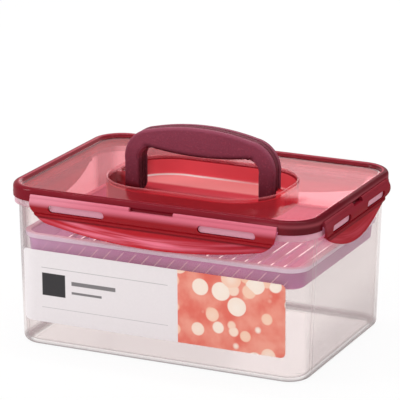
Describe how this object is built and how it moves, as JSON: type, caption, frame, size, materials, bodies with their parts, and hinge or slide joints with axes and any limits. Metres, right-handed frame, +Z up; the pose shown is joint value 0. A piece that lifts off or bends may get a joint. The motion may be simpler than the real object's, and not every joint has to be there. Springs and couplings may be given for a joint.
{
  "type": "kimchi container",
  "caption": "Translucent rectangular food keeper for kimchi with a ribbed press plate, a lid held by hinged latches, and a carrying handle that folds into a well.",
  "frame": {"origin": "on the table under the middle of the tub, rest pose with the lid latched and the handle upright", "axes": "+X along the long side to the right, +Y to the back, +Z up; the front with the label faces -Y"},
  "size_m": [0.245, 0.178, 0.1549],
  "materials": {
    "tub_plastic": "milky translucent polypropylene",
    "label_film": "printed film, satin",
    "lid_plastic": "translucent burgundy polypropylene, glossy",
    "silicone_white": "milky silicone",
    "latch_plastic": "burgundy polypropylene, glossy",
    "handle_plastic": "dark burgundy, matt",
    "soft_grip": "soft-touch burgundy, matt",
    "plate_plastic": "translucent lilac polypropylene",
    "silicone_lilac": "pale lilac silicone"
  },
  "bodies": {
    "container": {"container_body": "tub_plastic", "front_label": "label_film"},
    "lid": {"lid": "lid_plastic", "lid_gasket": "silicone_white"},
    "latch_front": {"latch_front": "latch_plastic"},
    "latch_back": {"latch_back": "latch_plastic"},
    "latch_left": {"latch_left": "latch_plastic"},
    "latch_right": {"latch_right": "latch_plastic"},
    "handle": {"handle_core": "handle_plastic", "handle_grip_front": "soft_grip", "handle_grip_back": "soft_grip"},
    "press_plate": {"press_plate": "plate_plastic", "press_plate_seal": "silicone_lilac"}
  },
  "joints": [
    {"name": "lid_lift", "type": "slide", "parent": "container", "child": "lid", "axis": [0, 0, 1], "range_m": [0, 0.15]},
    {"name": "latch_front_hinge", "type": "hinge", "parent": "lid", "child": "latch_front", "pos_m": [0, -0.0859, 0.1139], "axis": [-1, 0, 0], "range_deg": [0, 110]},
    {"name": "latch_back_hinge", "type": "hinge", "parent": "lid", "child": "latch_back", "pos_m": [0, 0.0859, 0.1139], "axis": [1, 0, 0], "range_deg": [0, 110]},
    {"name": "latch_left_hinge", "type": "hinge", "parent": "lid", "child": "latch_left", "pos_m": [-0.1194, 0, 0.1139], "axis": [0, 1, 0], "range_deg": [0, 110]},
    {"name": "latch_right_hinge", "type": "hinge", "parent": "lid", "child": "latch_right", "pos_m": [0.1194, 0, 0.1139], "axis": [0, -1, 0], "range_deg": [0, 110]},
    {"name": "handle_fold", "type": "hinge", "parent": "lid", "child": "handle", "pos_m": [0, 0, 0.1115], "axis": [1, 0, 0], "range_deg": [-90, 90]},
    {"name": "press_plate_slide", "type": "slide", "parent": "container", "child": "press_plate", "axis": [0, 0, 1], "range_m": [-0.058, 0.008]}
  ]
}
